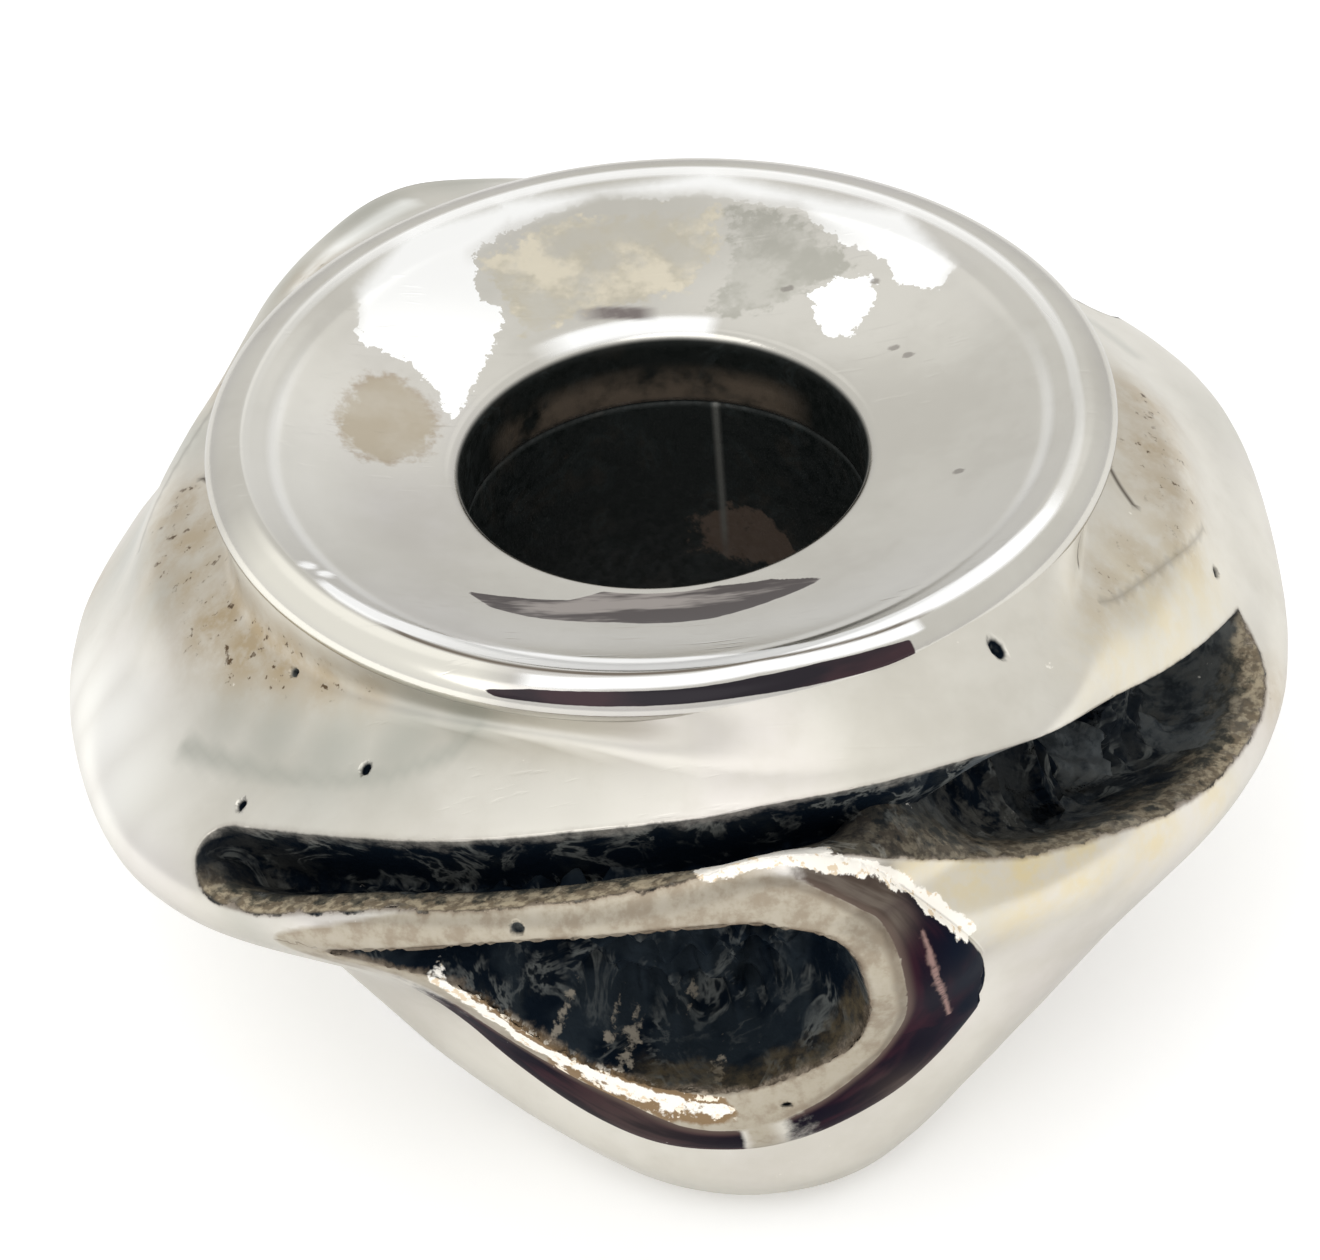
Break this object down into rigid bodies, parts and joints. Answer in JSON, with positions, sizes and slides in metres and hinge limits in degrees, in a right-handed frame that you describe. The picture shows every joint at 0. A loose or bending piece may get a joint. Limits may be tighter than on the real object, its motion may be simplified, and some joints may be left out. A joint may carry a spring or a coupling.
{
  "type": "european charm bead",
  "caption": "Twisted, lobed silver charm bead with a large bore between dished collars, and blackened slots and curled teardrop recesses round its sides.",
  "frame": {"origin": "on the bore's axis, in the plane that the lower rim rests on", "axes": "+Z along the bore, out through the wide upper collar; +X and +Y across the bead, the picture looks along +Y from above; the form repeats after half a turn about Z"},
  "size_m": [0.0136, 0.0134, 0.0068],
  "materials": {
    "cast_silver": "polished sterling silver, blackened in the recesses",
    "polished_silver": "polished sterling silver",
    "darkened_silver": "oxidised silver, dull"
  },
  "bodies": {
    "root": {"body": "cast_silver", "upper_collar": "polished_silver", "lower_collar": "polished_silver", "core_tube": "darkened_silver"}
  },
  "joints": []
}
